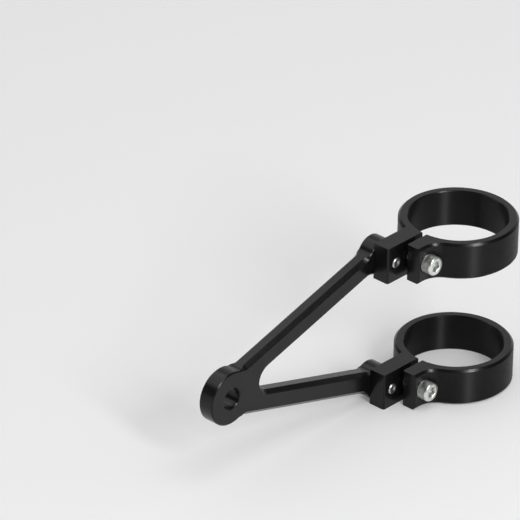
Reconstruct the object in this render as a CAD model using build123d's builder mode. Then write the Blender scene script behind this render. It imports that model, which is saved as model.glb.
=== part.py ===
from build123d import *
import os
from math import atan2, cos, degrees, sin, sqrt, tan

# A headlight bracket for one side of a motorcycle fork: a flat V arm with an eye for
# the lamp bolt, screwed to two split clamps. +Z runs up the fork axis, +X from the
# fork towards the lamp eye. The origin is on the fork axis, midway between the clamps.

# Split clamps
fork_diameter = 43.0
ring_wall = 4.2
clamp_height = 16.8
clamp_pitch = 61.4
slit_width = 2.6
lug_thickness = 8.0
lug_end = 5.3
ear_thickness = 7.0
ear_end = 5.6
ear_blend_radius = 9.0
lug_root_radius = 1.0
clamp_edge_chamfer = 1.0
bore_edge_chamfer = 0.4
lug_corner_chamfer = 0.6
ear_corner_chamfer = 0.4

# V arm
arm_thickness = 7.4
arm_run = 91.9
eye_diameter = 24.3
eye_hole_diameter = 9.4
eye_hole_chamfer = 0.4
boss_diameter = 15.5
bar_width = 10.0
bar_eye_rise = 4.2
bar_fillet_radius = 4.2
root_fillet_radius = 5.7
edge_break = 0.5
bar_bevel = 1.8
cutter_radius = 4.2
cutter_clearance = 0.3

# Socket head cap screws, one size in all four places, in two lengths
screw_diameter = 5.0
pinch_screw_length = 16.0
arm_screw_length = 12.0
screw_head_diameter = 8.5
screw_head_height = 5.0
screw_head_chamfer = 0.4
screw_end_chamfer = 0.6
socket_across_flats = 4.0
socket_depth = 2.5
socket_mouth_chamfer = 0.3
thread_clearance = 0.05
pass_clearance = 0.25
head_clearance = 0.25
tapped_hole_run = 0.5

# Where the screws sit
pinch_screw_gap = 2.8
pinch_pocket_depth = 0.3
screw_spacing = 9.2
arm_counterbore_depth = 3.8

bore_radius = fork_diameter / 2
ring_radius = bore_radius + ring_wall
lug_face = slit_width / 2 + lug_thickness
ear_face = slit_width / 2 + ear_thickness
arm_back = lug_face + arm_thickness
pinch_screw_reach = ring_radius + pinch_screw_gap
arm_screw_reach = pinch_screw_reach + screw_spacing
ear_reach = pinch_screw_reach + ear_end
lug_reach = arm_screw_reach + lug_end
eye_reach = arm_screw_reach + arm_run
eye_radius = eye_diameter / 2
boss_radius = boss_diameter / 2
pinch_seat = ear_face - pinch_pocket_depth
tapped_depth = pinch_screw_length - pinch_seat + tapped_hole_run
arm_seat = arm_back - arm_counterbore_depth
screw_radius = screw_diameter / 2
tapped_radius = screw_radius + thread_clearance
pass_radius = screw_radius + pass_clearance
head_pocket_radius = screw_head_diameter / 2 + head_clearance
half_pitch = clamp_pitch / 2
levels = {"upper": half_pitch, "lower": -half_pitch}

os.makedirs("parts", exist_ok=True)


def bore_along_y(reach, level, radius, start, depth):
    """Cut a round hole from y = start, depth long towards -Y."""
    with BuildSketch(Plane.XZ.offset(-start)) as hole:
        with Locations((reach, level)):
            Circle(radius)
    extrude(hole.sketch, amount=depth, mode=Mode.SUBTRACT)


def circles_of(builder, radius):
    """Every full circle of the given radius."""
    rounds = builder.edges().filter_by(GeomType.CIRCLE)
    return rounds.filter_by(lambda edge: edge.is_closed and abs(edge.radius - radius) < 1e-6)


# Each clamp: a ring with a long square lug behind the slit and a short ear in front of
# it, the ear running into the ring through a hollow blend. The ring's and the ear's outer
# edges are broken on longer stock, then the ear is cut off square and the lug added.
end_stock = 2 * clamp_edge_chamfer
ear_junction = (sqrt(ring_radius**2 - ear_face**2), ear_face)
lug_junction = (sqrt(ring_radius**2 - lug_face**2), -lug_face)
for side, level in levels.items():
    with BuildPart() as clamp:
        with BuildSketch(Plane.XY.offset(level - clamp_height / 2)) as outline:
            Circle(ring_radius)
            with Locations((0, ear_face)):
                Rectangle(ear_reach + end_stock, ear_face + slit_width, align=(Align.MIN, Align.MAX))
            fillet(outline.vertices().sort_by_distance(ear_junction)[0], ear_blend_radius)
        extrude(amount=clamp_height)
        chamfer(clamp.faces().filter_by(Axis.Z).edges(), clamp_edge_chamfer)
        with Locations((0, 0, level)):
            lug_align = (Align.MIN, Align.MAX, Align.CENTER)
            Box(lug_reach, lug_face, clamp_height, align=lug_align)
        lug_root = clamp.edges().filter_by(Axis.Z).sort_by_distance((*lug_junction, level))[0]
        fillet(lug_root, lug_root_radius)

        with Locations((0, 0, level)):
            Cylinder(bore_radius, clamp_height, mode=Mode.SUBTRACT)
        chamfer(circles_of(clamp, bore_radius), bore_edge_chamfer)

        with Locations((0, 0, level)):
            slit_align = (Align.MIN, Align.CENTER, Align.CENTER)
            Box(lug_reach, slit_width, clamp_height, align=slit_align, mode=Mode.SUBTRACT)
        with Locations((ear_reach, 0, level)):
            end_align = (Align.MIN, Align.MIN, Align.CENTER)
            Box(2 * end_stock, ear_face, clamp_height, align=end_align, mode=Mode.SUBTRACT)
        for reach, y, size in (
            (lug_reach, -slit_width / 2, lug_corner_chamfer),
            (ear_reach, slit_width / 2, ear_corner_chamfer),
            (ear_reach, ear_face, ear_corner_chamfer),
        ):
            upright = clamp.edges().filter_by(Axis.Z)
            chamfer(upright.sort_by_distance((reach, y, level))[0], size)

        bore_along_y(pinch_screw_reach, level, head_pocket_radius, ring_radius, ring_radius - pinch_seat)
        bore_along_y(pinch_screw_reach, level, pass_radius, pinch_seat, pinch_seat)
        bore_along_y(pinch_screw_reach, level, tapped_radius, 0, tapped_depth)
        bore_along_y(arm_screw_reach, level, tapped_radius, 0, lug_face)
    node = f"{side}_clamp"
    clamp.part.label = node
    export_step(clamp.part, f"parts/{node}.step")

# The V arm. The upper bar runs from its boss to a little above the eye's middle; the
# lower one mirrors it.
slope = atan2(half_pitch - bar_eye_rise, arm_run)
along = Vector(cos(slope), -sin(slope))
across = Vector(sin(slope), cos(slope))
upper_boss = Vector(arm_screw_reach, half_pitch)
eye = Vector(eye_reach, 0)
bar_length = (eye - upper_boss).dot(along)
eye_offset = (upper_boss - eye).dot(across)
outer_offset = eye_offset + bar_width / 2
inner_offset = eye_offset - bar_width / 2
opening_tip = eye_reach + inner_offset / sin(slope)
boss_notch = sqrt(boss_radius**2 - (bar_width / 2) ** 2)
eye_notch = sqrt(eye_radius**2 - outer_offset**2)
notches = [
    upper_boss + along * boss_notch + across * (bar_width / 2),
    upper_boss + along * boss_notch - across * (bar_width / 2),
    eye - along * eye_notch + across * outer_offset,
]

# The bevel cutter's path beside a bar: how far off the bar it runs and where it must
# stop so that its rim clears the boss and the eye.
cutter_offset = bar_width / 2 + cutter_radius - bar_bevel
boss_stop = sqrt((boss_radius + cutter_radius + cutter_clearance) ** 2 - cutter_offset**2)
eye_reach_off = cutter_offset + eye_offset
eye_stop = sqrt((eye_radius + cutter_radius + cutter_clearance) ** 2 - eye_reach_off**2)
cut_run = bar_length - boss_stop - eye_stop
cut_middle = upper_boss + along * (boss_stop + cut_run / 2) + across * cutter_offset
inner_stop = upper_boss + along * boss_stop - across * cutter_offset
bevel_tip = opening_tip + bar_bevel / sin(slope)
bevel_base = inner_stop.X - cutter_radius

with BuildPart() as arm:
    front = Plane.XZ.offset(lug_face)
    middle = front.offset(arm_thickness / 2)
    with BuildSketch(front) as profile:
        tail = upper_boss + across * (bar_width / 2)
        nose = eye + across * outer_offset
        Polygon(tail, nose, eye, (nose.X, -nose.Y), (tail.X, -tail.Y), align=None)
        with BuildSketch(mode=Mode.SUBTRACT) as opening:
            mouth_rise = opening_tip * tan(slope)
            Polygon((opening_tip, 0), (0, mouth_rise), (0, -mouth_rise), align=None)
            fillet(opening.vertices().sort_by_distance((opening_tip, 0))[0], root_fillet_radius)
        with Locations(upper_boss, (upper_boss.X, -upper_boss.Y)):
            Circle(boss_radius)
        with Locations(eye):
            Circle(eye_radius)
        for notch in notches:
            for corner in ((notch.X, notch.Y), (notch.X, -notch.Y)):
                fillet(profile.vertices().sort_by_distance(corner)[0], bar_fillet_radius)
    extrude(amount=arm_thickness / 2)
    chamfer(arm.faces().sort_by(Axis.Y)[-1].edges(), edge_break)

    with BuildSketch(front) as bevels:
        with Locations(cut_middle):
            SlotCenterToCenter(cut_run, 2 * cutter_radius, rotation=-degrees(slope))
        with Locations((cut_middle.X, -cut_middle.Y)):
            SlotCenterToCenter(cut_run, 2 * cutter_radius, rotation=degrees(slope))
        with BuildSketch() as inner:
            base_rise = (bevel_tip - bevel_base) * tan(slope)
            Polygon((bevel_tip, 0), (bevel_base, base_rise), (bevel_base, -base_rise), align=None)
            fillet(inner.vertices().sort_by_distance((bevel_tip, 0))[0], root_fillet_radius + bar_bevel)
            fillet(inner.vertices().group_by(Axis.X)[0], cutter_radius)
    extrude(amount=bar_bevel, taper=45, mode=Mode.SUBTRACT)
    mirror(about=middle)

    bore_along_y(eye_reach, 0, eye_hole_diameter / 2, -lug_face, arm_thickness)
    chamfer(circles_of(arm, eye_hole_diameter / 2), eye_hole_chamfer)
    for level in levels.values():
        bore_along_y(arm_screw_reach, level, pass_radius, -lug_face, arm_thickness)
        bore_along_y(arm_screw_reach, level, head_pocket_radius, -arm_seat, arm_counterbore_depth)
arm.part.label = "arm"
export_step(arm.part, "parts/arm.step")

# Screws: each stands on its seat, head outwards and thread into the lug.
for side, level in levels.items():
    pinch_plane = Plane((pinch_screw_reach, pinch_seat, level), x_dir=(1, 0, 0), z_dir=(0, 1, 0))
    arm_plane = Plane((arm_screw_reach, -arm_seat, level), x_dir=(1, 0, 0), z_dir=(0, -1, 0))
    seats = {"pinch": (pinch_plane, pinch_screw_length), "arm": (arm_plane, arm_screw_length)}
    for role, (seat, length) in seats.items():
        with BuildPart() as screw:
            outwards = Axis(seat.origin, seat.z_dir)
            with BuildSketch(seat):
                Circle(screw_head_diameter / 2)
            extrude(amount=screw_head_height)
            chamfer(screw.edges().sort_by(outwards)[-1], screw_head_chamfer)
            with BuildSketch(seat):
                Circle(screw_radius)
            extrude(amount=-length)
            chamfer(screw.edges().sort_by(outwards)[0], screw_end_chamfer)
            with BuildSketch(seat.offset(screw_head_height)):
                RegularPolygon(socket_across_flats / 2, 6, major_radius=False)
            extrude(amount=-socket_depth, mode=Mode.SUBTRACT)
            head_top = screw.faces().sort_by(outwards)[-1]
            chamfer(head_top.inner_wires()[0].edges(), socket_mouth_chamfer)
        node = f"{side}_{role}_screw"
        screw.part.label = node
        export_step(screw.part, f"parts/{node}.step")
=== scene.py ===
import math

import bpy
from mathutils import Matrix, Vector


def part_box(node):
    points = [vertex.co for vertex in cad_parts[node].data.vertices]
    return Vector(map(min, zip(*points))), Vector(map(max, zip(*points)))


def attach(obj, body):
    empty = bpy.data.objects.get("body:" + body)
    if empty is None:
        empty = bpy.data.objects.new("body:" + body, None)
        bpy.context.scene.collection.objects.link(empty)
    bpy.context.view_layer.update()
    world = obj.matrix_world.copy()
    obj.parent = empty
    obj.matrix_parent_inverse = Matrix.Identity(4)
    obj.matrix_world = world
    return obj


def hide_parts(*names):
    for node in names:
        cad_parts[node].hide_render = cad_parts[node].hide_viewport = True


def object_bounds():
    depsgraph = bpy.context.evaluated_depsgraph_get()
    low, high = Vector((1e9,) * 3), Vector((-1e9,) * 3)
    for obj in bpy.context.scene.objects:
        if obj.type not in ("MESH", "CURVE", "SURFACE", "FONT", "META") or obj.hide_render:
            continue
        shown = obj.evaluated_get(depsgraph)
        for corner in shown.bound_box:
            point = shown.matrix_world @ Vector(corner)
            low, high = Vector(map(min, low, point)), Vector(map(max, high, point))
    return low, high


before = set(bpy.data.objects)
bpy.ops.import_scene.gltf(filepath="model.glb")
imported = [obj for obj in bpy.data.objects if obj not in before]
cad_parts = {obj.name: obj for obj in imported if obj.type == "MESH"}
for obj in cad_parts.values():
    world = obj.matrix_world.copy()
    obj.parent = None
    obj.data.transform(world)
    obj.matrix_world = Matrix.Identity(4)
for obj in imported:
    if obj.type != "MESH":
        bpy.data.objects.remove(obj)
cad_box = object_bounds()
floor_level = cad_box[0][2]

scene = bpy.context.scene
scene.view_settings.view_transform = "Standard"

# Camera: degrees, pixels, and where the floor under the fork axis lies from it: right, up, ahead, metres
VIEW_AZIMUTH = 47.6814
VIEW_ELEVATION = 29.4591
VIEW_ROLL = 1.0869
FOCAL_PIXELS = 6000.0
IMAGE_PIXELS = 520
SENSOR_MM = 36.0
CAMERA_OFFSET = (0.0827092, -0.0491764, 2.57654)
CLIP_END = 20

# Screw heads, metres
HEAD_RADIUS = 0.00425
HEAD_HEIGHT = 0.005
HEAD_FOOT = 0.0004
HEAD_ROUND = 0.0009
HEAD_ROUND_STEPS = 4
KNURLS = 36
KNURL_WAVE = (0, 0.75, 1, 0.75)
KNURL_DEPTH = 0.00016
KNURL_RUNOUT = 0.0002
SOCKET_HALF = 0.002
SOCKET_DEPTH = 0.0025
SOCKET_CHAMFER = 0.0003
SOCKET_STEP = 0.0002
SOCKET_CONE = 0.0006
SOCKET_CONE_SHARE = 0.8
SHARP_DEGREES = 28

# Screw threads, metres
THREAD_RADIUS = 0.0025
THREAD_DEPTH = 0.0005
THREAD_PITCH = 0.0008
THREAD_END = 0.0006
THREAD_SLOPE = 1.25
THREAD_CREST = 0.1
ROWS_PER_PITCH = 6
END_DISH = 0.0005

# Painted shade in the socket, the knurl grooves and the dish at the thread's end, and a darker thread: how
# far the plating's colour is darkened, from 0 to 1
THREAD_SHADE = 0.5
KNURL_SHADE = 0.35
SOCKET_MOUTH_SHADE = 0.25
SOCKET_WALL_SHADE = 0.6
SOCKET_BOTTOM_SHADE = 0.5
DISH_MIDDLE_SHADE = 1.0

# Thread end from its dish outwards: radius and depth, metres, and painted shade
END_RINGS = ((0.0006, END_DISH, 0.9), (0.0012, 0.00005, 0.7), (0.0014, 0, 0.6))

# Spans and noise details that the finishes share
NOISE_MIDDLE = (0.3, 0.7)
UNIT = (0, 1)
CLOUD_DETAIL = 3
FINE_DETAIL = 2

# Black anodise
DYE_SCALE = 90
DYE_SPAN = (0.35, 0.68)
DYE_COLOURS = ((0.0035, 0.0035, 0.0038), (0.0065, 0.0064, 0.0064))
TOOL_LINE_SCALE = 1500
TOOL_LINE_STRETCH = (0.05, 1, 1)
TOOL_LINE_BUMP = 0.06
GRAIN_SCALE = 5200
GRAIN_BUMP = 0.12
ANODISE_BUMP_DEPTH = 0.00004
ANODISE_ROUGHNESS = (0.2, 0.27)
ANODISE_IOR = 1.34
EDGE_ROUNDING = 0.00034

# Turned ring walls: distance from the fork axis, metres, and how level a face lies, where they fade out
FORK_AXIS = (0, 0, 1)
ACROSS_FORK = (1, 1, 0)
RING_FADE = (0.0259, 0.0266)
LEVEL_FADE = (0.05, 0.6)
TURNED_ROTATION = 0.25
TURNED_ROUGHNESS = 0.18

# Zinc plating
FILM_SCALE = 420
FILM_SPAN = (0.35, 0.65)
FILM_COLOURS = ((0.70, 0.73, 0.69), (0.84, 0.85, 0.82))
FULL_SHADE_TINT = 0.3
DRAWN_LINE_SCALE = 2600
DRAWN_LINE_STRETCH = (1, 0.12, 1)
DRAWN_LINE_BUMP = 0.05
DRAWN_LINE_DEPTH = 0.00003
ZINC_ROUGHNESS = (0.28, 0.38)

# Floor and room
WHITE = (1, 1, 1, 1)
FLOOR_HALF = 6.0
FLOOR_COLOUR = (0.9, 0.9, 0.9, 1)
FLOOR_ROUGHNESS = 0.9
FLOOR_SPECULAR = 0.1
FLOOR_GLOW = 0.1
SWEEP_WAY = (-0.797, -0.592, 0.123)
SWEEP_SPAN = (0.45, 1)
SWEEP_GLOW = 0.75
HORIZON_SPAN = (0.06, 0.2)
HORIZON_GLOW = 0.75
ROOM_LIGHT = 0.56
ROOM_SEEN = 0.1

# Soft panels: name, direction, width, height, watts, and whether it lights or only shines in a polish
PANEL_DISTANCE = 1.6
PANEL_AIM = (0.05, 0, 0)
PANELS = (
    ("back_card", (0.12, -0.62, 0.77), 1.5, 0.9, 6.5, False),
    ("overhead", (-0.02, 0.27, 0.963), 0.8, 0.8, 3, True),
    ("spot", (0.0, 0.588, 0.809), 0.28, 0.28, 6, False),
    ("strip", (0.238, 0.802, 0.548), 0.22, 0.6, 8.5, True),
)


def add_camera():
    azimuth = math.radians(VIEW_AZIMUTH)
    elevation = math.radians(VIEW_ELEVATION)
    roll = math.radians(VIEW_ROLL)
    right = Vector((-math.cos(azimuth), math.sin(azimuth), 0))
    forward = Vector((
        -math.sin(azimuth) * math.cos(elevation),
        -math.cos(azimuth) * math.cos(elevation),
        -math.sin(elevation),
    ))
    up = right.cross(forward)
    right, up = (
        right * math.cos(roll) + up * math.sin(roll),
        up * math.cos(roll) - right * math.sin(roll),
    )
    across, rise, away = CAMERA_OFFSET
    place = Vector((0, 0, floor_level)) - right * across - up * rise - forward * away
    data = bpy.data.cameras.new("camera")
    data.sensor_width = SENSOR_MM
    data.lens = SENSOR_MM * FOCAL_PIXELS / IMAGE_PIXELS
    data.clip_end = CLIP_END
    camera = bpy.data.objects.new("camera", data)
    camera.matrix_world = Matrix((
        (right.x, up.x, -forward.x, place.x),
        (right.y, up.y, -forward.y, place.y),
        (right.z, up.z, -forward.z, place.z),
        (0, 0, 0, 1),
    ))
    scene.collection.objects.link(camera)
    scene.camera = camera


def new_material(name):
    material = bpy.data.materials.new(name)
    material.use_nodes = True
    tree = material.node_tree
    shader = tree.nodes["Principled BSDF"]
    return material, tree, shader


def noise_on(tree, source, scale, detail, stretch=(1, 1, 1)):
    """Noise in the part's own coordinates, optionally drawn out along an axis."""
    mapping = tree.nodes.new("ShaderNodeMapping")
    mapping.inputs["Scale"].default_value = stretch
    noise = tree.nodes.new("ShaderNodeTexNoise")
    noise.inputs["Scale"].default_value = scale
    noise.inputs["Detail"].default_value = detail
    tree.links.new(source, mapping.inputs["Vector"])
    tree.links.new(mapping.outputs["Vector"], noise.inputs["Vector"])
    return noise.outputs["Fac"]


def ramp_on(tree, source, span, colours):
    """Run from the first colour to the second while the source crosses the span."""
    ramp = tree.nodes.new("ShaderNodeValToRGB")
    ramp.color_ramp.elements[0].position = span[0]
    ramp.color_ramp.elements[1].position = span[1]
    for element, colour in zip(ramp.color_ramp.elements, colours):
        element.color = (*colour, 1)
    tree.links.new(source, ramp.inputs["Fac"])
    return ramp.outputs["Color"]


def range_on(tree, source, values, span=NOISE_MIDDLE):
    """Run from the first value to the second while the source crosses the span."""
    spread = tree.nodes.new("ShaderNodeMapRange")
    spread.inputs["From Min"].default_value = span[0]
    spread.inputs["From Max"].default_value = span[1]
    spread.inputs["To Min"].default_value = values[0]
    spread.inputs["To Max"].default_value = values[1]
    tree.links.new(source, spread.inputs["Value"])
    return spread.outputs["Result"]


def math_on(tree, operation, *sources):
    node = tree.nodes.new("ShaderNodeMath")
    node.operation = operation
    for source, socket in zip(sources, node.inputs):
        tree.links.new(source, socket)
    return node.outputs[0]


def turned_share(tree, place):
    """1 on the ring's round walls, 0 on flat tops and out on the lug and the ear."""
    flat = tree.nodes.new("ShaderNodeVectorMath")
    flat.operation = "MULTIPLY"
    flat.inputs[1].default_value = ACROSS_FORK
    tree.links.new(place, flat.inputs[0])
    reach = tree.nodes.new("ShaderNodeVectorMath")
    reach.operation = "LENGTH"
    tree.links.new(flat.outputs["Vector"], reach.inputs[0])
    ring = range_on(tree, reach.outputs["Value"], (1, 0), RING_FADE)
    facing = tree.nodes.new("ShaderNodeSeparateXYZ")
    geometry = tree.nodes.new("ShaderNodeNewGeometry")
    tree.links.new(geometry.outputs["Normal"], facing.inputs["Vector"])
    level = math_on(tree, "ABSOLUTE", facing.outputs["Z"])
    wall = range_on(tree, level, (1, 0), LEVEL_FADE)
    return math_on(tree, "MULTIPLY", ring, wall)


def bump_on(tree, height, strength, distance, normal=None):
    bump = tree.nodes.new("ShaderNodeBump")
    bump.inputs["Strength"].default_value = strength
    bump.inputs["Distance"].default_value = distance
    tree.links.new(height, bump.inputs["Height"])
    if normal is not None:
        tree.links.new(normal, bump.inputs["Normal"])
    return bump.outputs["Normal"]


def anodised(name, turned):
    """Satin black anodise: an etched grain, faint tool lines and a cloudy dye.

    On turned pieces the ring's walls stretch their highlights, by a tangent that runs around the fork axis.
    """
    material, tree, shader = new_material(name)
    place = tree.nodes.new("ShaderNodeTexCoord").outputs["Object"]
    cloud = noise_on(tree, place, DYE_SCALE, CLOUD_DETAIL)
    dye = ramp_on(tree, cloud, DYE_SPAN, DYE_COLOURS)
    tree.links.new(dye, shader.inputs["Base Color"])
    milling = noise_on(tree, place, TOOL_LINE_SCALE, FINE_DETAIL, TOOL_LINE_STRETCH)
    satin = range_on(tree, milling, ANODISE_ROUGHNESS)
    rounded = tree.nodes.new("ShaderNodeBevel")
    rounded.inputs["Radius"].default_value = EDGE_ROUNDING
    grain = noise_on(tree, place, GRAIN_SCALE, FINE_DETAIL)
    etched = bump_on(tree, grain, GRAIN_BUMP, ANODISE_BUMP_DEPTH, rounded.outputs["Normal"])
    lined = bump_on(tree, milling, TOOL_LINE_BUMP, ANODISE_BUMP_DEPTH, etched)
    tree.links.new(lined, shader.inputs["Normal"])
    shader.inputs["IOR"].default_value = ANODISE_IOR
    if turned:
        around = tree.nodes.new("ShaderNodeVectorMath")
        around.operation = "CROSS_PRODUCT"
        around.inputs[0].default_value = FORK_AXIS
        tree.links.new(place, around.inputs[1])
        tree.links.new(around.outputs["Vector"], shader.inputs["Tangent"])
        shader.inputs["Anisotropic Rotation"].default_value = TURNED_ROTATION
        share = turned_share(tree, place)
        tree.links.new(share, shader.inputs["Anisotropic"])
        satin = math_on(tree, "ADD", satin, range_on(tree, share, (0, TURNED_ROUGHNESS), UNIT))
    tree.links.new(satin, shader.inputs["Roughness"])
    return material


def zinc():
    """Bright zinc on steel: a faint greenish film and fine drawn lines, darkened by the mesh's painted
    shade.
    """
    material, tree, shader = new_material("screw_steel")
    place = tree.nodes.new("ShaderNodeTexCoord").outputs["Object"]
    film = noise_on(tree, place, FILM_SCALE, CLOUD_DETAIL)
    tint = ramp_on(tree, film, FILM_SPAN, FILM_COLOURS)
    # The mesh's shade attribute paints shade into the plating's colour
    shade = tree.nodes.new("ShaderNodeAttribute")
    shade.attribute_name = "shade"
    dimmed = tree.nodes.new("ShaderNodeVectorMath")
    dimmed.operation = "SCALE"
    tree.links.new(tint, dimmed.inputs[0])
    share = range_on(tree, shade.outputs["Fac"], (1, FULL_SHADE_TINT), UNIT)
    tree.links.new(share, dimmed.inputs["Scale"])
    tree.links.new(dimmed.outputs["Vector"], shader.inputs["Base Color"])
    lines = noise_on(tree, place, DRAWN_LINE_SCALE, FINE_DETAIL, DRAWN_LINE_STRETCH)
    tree.links.new(range_on(tree, lines, ZINC_ROUGHNESS), shader.inputs["Roughness"])
    drawn = bump_on(tree, lines, DRAWN_LINE_BUMP, DRAWN_LINE_DEPTH)
    tree.links.new(drawn, shader.inputs["Normal"])
    shader.inputs["Metallic"].default_value = 1
    return material


def hexagon_radius(angle, half):
    """Distance from the middle of a hexagon to its side at this angle."""
    turn = (angle + math.pi / 6) % (math.pi / 3) - math.pi / 6
    return half / math.cos(turn)


def thread_ring(z, length, around):
    """One row of the helical thread, tapered towards its end."""
    limit = THREAD_RADIUS - max(0, THREAD_END - (z + length))
    ring = []
    for i in range(around):
        phase = (z / THREAD_PITCH - i / around) % 1
        flank = THREAD_SLOPE * (1 - abs(2 * phase - 1)) - THREAD_CREST
        dip = THREAD_DEPTH * min(1, max(0, flank))
        ring.append((min(limit, THREAD_RADIUS - dip), z))
    return ring


def screw_rings(length, around):
    """Rings of (radius, z) from thread end to socket, each with its painted shade. The seat is at z = 0."""
    rings = []

    def plain(radius, z, shade=0.0):
        rings.append(([(radius, z)] * around, shade))

    def hexed(half, z, shade=0.0):
        rings.append(([(hexagon_radius(math.tau * i / around, half), z) for i in range(around)], shade))

    def knurled(depth, z):
        ring = [(HEAD_RADIUS - depth * KNURL_WAVE[i % len(KNURL_WAVE)], z) for i in range(around)]
        # Painted shade, deeper in the knurl grooves
        rings.append((ring, depth / KNURL_DEPTH * KNURL_SHADE))

    # Painted shade in the dish at the thread's end
    for radius, depth, shade in END_RINGS:
        plain(radius, depth - length, shade)
    rows = round(length / THREAD_PITCH * ROWS_PER_PITCH)
    for row in range(rows + 1):
        # The thread is drawn darker
        rings.append((thread_ring(-length + length * row / rows, length, around), THREAD_SHADE))

    side = HEAD_HEIGHT - HEAD_ROUND
    plain(HEAD_RADIUS - HEAD_FOOT, 0)
    knurled(0, HEAD_FOOT)
    knurled(KNURL_DEPTH, HEAD_FOOT + KNURL_RUNOUT)
    knurled(KNURL_DEPTH, side - KNURL_RUNOUT)
    knurled(0, side)
    for step in range(1, HEAD_ROUND_STEPS + 1):
        turn = math.pi / 2 * step / HEAD_ROUND_STEPS
        plain(HEAD_RADIUS - HEAD_ROUND * (1 - math.cos(turn)), side + HEAD_ROUND * math.sin(turn))

    # Painted shade on the socket's walls and bottom
    cone = HEAD_HEIGHT - SOCKET_DEPTH + SOCKET_CONE
    hexed(SOCKET_HALF + SOCKET_CHAMFER, HEAD_HEIGHT)
    hexed(SOCKET_HALF, HEAD_HEIGHT - SOCKET_CHAMFER, SOCKET_MOUTH_SHADE)
    hexed(SOCKET_HALF, cone + SOCKET_STEP, SOCKET_WALL_SHADE)
    plain(SOCKET_HALF * SOCKET_CONE_SHARE, cone, SOCKET_BOTTOM_SHADE)
    return rings


def screw_shape(length):
    """One closed mesh of a screw along +Z: its points, its faces and the painted shade at each point."""
    around = KNURLS * len(KNURL_WAVE)
    rings = screw_rings(length, around)
    points = []
    shades = []
    for ring, shade in rings:
        for i, (radius, z) in enumerate(ring):
            angle = math.tau * i / around
            points.append((radius * math.cos(angle), radius * math.sin(angle), z))
            shades.append(shade)
    points += [(0, 0, END_DISH - length), (0, 0, HEAD_HEIGHT - SOCKET_DEPTH)]
    shades += [DISH_MIDDLE_SHADE, SOCKET_BOTTOM_SHADE]

    faces = []
    for row in range(len(rings) - 1):
        low, high = row * around, (row + 1) * around
        for i in range(around):
            j = (i + 1) % around
            faces.append((low + i, low + j, high + j, high + i))
    last = (len(rings) - 1) * around
    for i in range(around):
        j = (i + 1) % around
        faces.append((j, i, len(points) - 2))
        faces.append((last + i, last + j, len(points) - 1))
    return points, faces, shades


def add_screws(material):
    """Threaded screws in place of the plain ones, each as long as the plain one's box."""
    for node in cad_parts:
        if not node.endswith("_screw"):
            continue
        low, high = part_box(node)
        points, faces, shades = screw_shape(high[1] - low[1] - HEAD_HEIGHT)
        middle = (Vector(low) + Vector(high)) / 2
        outwards = 1 if "pinch" in node else -1
        seat = high[1] - HEAD_HEIGHT if outwards > 0 else low[1] + HEAD_HEIGHT
        mesh = bpy.data.meshes.new(node + "_threaded")
        mesh.from_pydata(
            [(middle.x + x * outwards, seat + z * outwards, middle.z + y) for x, y, z in points],
            [],
            [face[::-1] for face in faces],
        )
        mesh.materials.append(material)
        # Painted shade at each point, read by the zinc material
        mesh.attributes.new("shade", "FLOAT", "POINT").data.foreach_set("value", shades)
        screw = bpy.data.objects.new(node + "_threaded", mesh)
        scene.collection.objects.link(screw)
        screw.data.shade_smooth()
        screw.data.set_sharp_from_angle(angle=math.radians(SHARP_DEGREES))
        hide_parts(node)
        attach(screw, "root")


def seen_share(tree):
    """1 for what is looked at, straight or in a polish, and 0 for what only lights."""
    path = tree.nodes.new("ShaderNodeLightPath").outputs
    mirrored = math_on(tree, "MAXIMUM", path["Is Glossy Ray"], path["Is Transmission Ray"])
    return math_on(tree, "MAXIMUM", path["Is Camera Ray"], mirrored)


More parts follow.
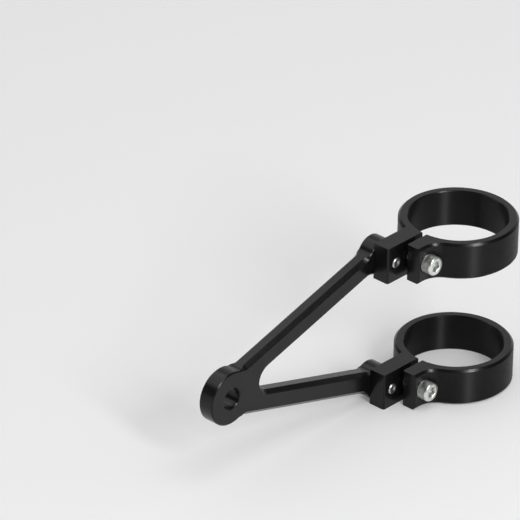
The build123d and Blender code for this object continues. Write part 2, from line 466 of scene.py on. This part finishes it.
def add_floor():
    """A pale floor that takes the shadow. Its faint glow is seen but lights nothing."""
    mesh = bpy.data.meshes.new("floor")
    outline = ((-1, -1), (1, -1), (1, 1), (-1, 1))
    mesh.from_pydata(
        [(x * FLOOR_HALF, y * FLOOR_HALF, floor_level) for x, y in outline],
        [],
        [(0, 1, 2, 3)],
    )
    floor = bpy.data.objects.new("floor", mesh)
    scene.collection.objects.link(floor)
    material, tree, shader = new_material("floor")
    shader.inputs["Base Color"].default_value = FLOOR_COLOUR
    shader.inputs["Roughness"].default_value = FLOOR_ROUGHNESS
    shader.inputs["Specular IOR Level"].default_value = FLOOR_SPECULAR
    glow = range_on(tree, seen_share(tree), (0, FLOOR_GLOW), UNIT)
    tree.links.new(glow, shader.inputs["Emission Strength"])
    shader.inputs["Emission Color"].default_value = WHITE
    mesh.materials.append(material)


def add_light(name, towards, width, height, power, lights):
    """A soft panel in the given direction, facing the part."""
    data = bpy.data.lights.new(name, "AREA")
    data.shape = "RECTANGLE"
    data.size = width
    data.size_y = height
    data.energy = power
    light = bpy.data.objects.new(name, data)
    way = Vector(towards).normalized()
    light.visible_diffuse = lights
    light.location = Vector(PANEL_AIM) + way * PANEL_DISTANCE
    light.rotation_euler = way.to_track_quat("Z", "Y").to_euler()
    scene.collection.objects.link(light)


def add_world():
    """A room that lights from all round. It is seen dim, but for a pale horizon and a sweep behind."""
    world = bpy.data.worlds.new("studio")
    scene.world = world
    world.use_nodes = True
    tree = world.node_tree
    way = tree.nodes.new("ShaderNodeTexCoord").outputs["Generated"]
    behind = tree.nodes.new("ShaderNodeVectorMath")
    behind.operation = "DOT_PRODUCT"
    behind.inputs[1].default_value = SWEEP_WAY
    tree.links.new(way, behind.inputs[0])
    sweep = range_on(tree, behind.outputs["Value"], (0, SWEEP_GLOW), SWEEP_SPAN)
    rise = tree.nodes.new("ShaderNodeSeparateXYZ")
    tree.links.new(way, rise.inputs["Vector"])
    horizon = range_on(tree, rise.outputs["Z"], (HORIZON_GLOW, 0), HORIZON_SPAN)
    seen = seen_share(tree)
    glow = math_on(tree, "MULTIPLY", math_on(tree, "MAXIMUM", sweep, horizon), seen)
    strength = math_on(tree, "ADD", glow, range_on(tree, seen, (ROOM_LIGHT, ROOM_SEEN), UNIT))
    tree.links.new(strength, tree.nodes["Background"].inputs["Strength"])
    tree.nodes["Background"].inputs["Color"].default_value = WHITE


add_camera()
milled = anodised("black_anodised", False)
turned = anodised("black_anodised_turned", True)
bright = zinc()
for name, finish in (("arm", milled), ("upper_clamp", turned), ("lower_clamp", turned)):
    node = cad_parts[name]
    node.data.materials.clear()
    node.data.materials.append(finish)
add_screws(bright)
add_floor()
add_world()
for panel in PANELS:
    add_light(*panel)
